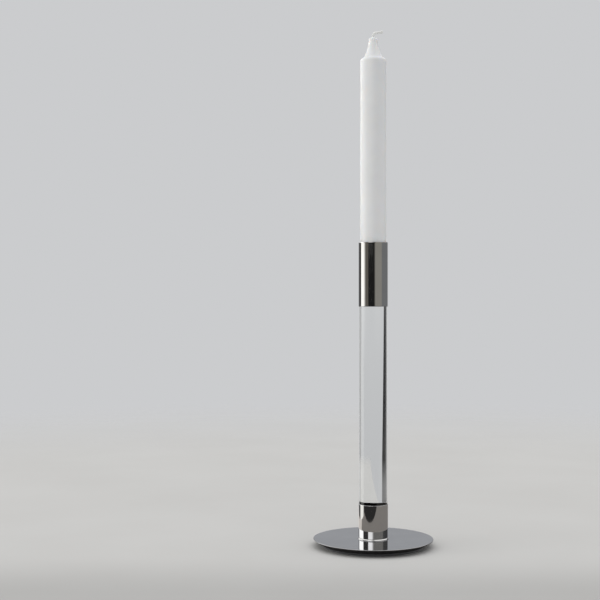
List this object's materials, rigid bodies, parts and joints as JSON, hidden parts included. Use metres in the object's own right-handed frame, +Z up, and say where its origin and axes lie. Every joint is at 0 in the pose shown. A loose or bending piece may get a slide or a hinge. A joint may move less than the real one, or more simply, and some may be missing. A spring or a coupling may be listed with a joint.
{
  "type": "glass candlestick",
  "caption": "Tall candlestick with a clear glass rod between polished metal tubes on a thin round base, holding a white tapered dinner candle that lifts out.",
  "frame": {"origin": "centre of the felt foot's lowest face, where the candlestick stands", "axes": "+Z up along the stem and candle; +X the side that the bent wick leans to"},
  "size_m": [0.1, 0.1, 0.4306],
  "materials": {
    "felt": "dense wool felt",
    "polished_metal": "mirror-polished nickel plate on steel",
    "fastener": "bright zinc-plated steel",
    "turned_insert": "fine turned",
    "soft_seat": "translucent silicone, matt",
    "clear_glass": "solid clear, fire-polished",
    "wax": "smooth white wax with a soft sheen",
    "cotton_wick": "flat braided cotton, waxed"
  },
  "bodies": {
    "holder": {"base_pad": "felt", "base_plate": "polished_metal", "base_screw": "fastener", "seating_ring": "polished_metal", "lower_ferrule": "polished_metal", "lower_plug": "turned_insert", "lower_seat_pad": "soft_seat", "glass_rod": "clear_glass", "upper_seat_pad": "soft_seat", "socket_floor": "turned_insert", "socket_tube": "polished_metal"},
    "candle": {"candle_body": "wax", "wick": "cotton_wick"}
  },
  "joints": [
    {"name": "candle_lift", "type": "slide", "parent": "holder", "child": "candle", "axis": [0, 0, 1], "range_m": [0, 0.04]}
  ]
}
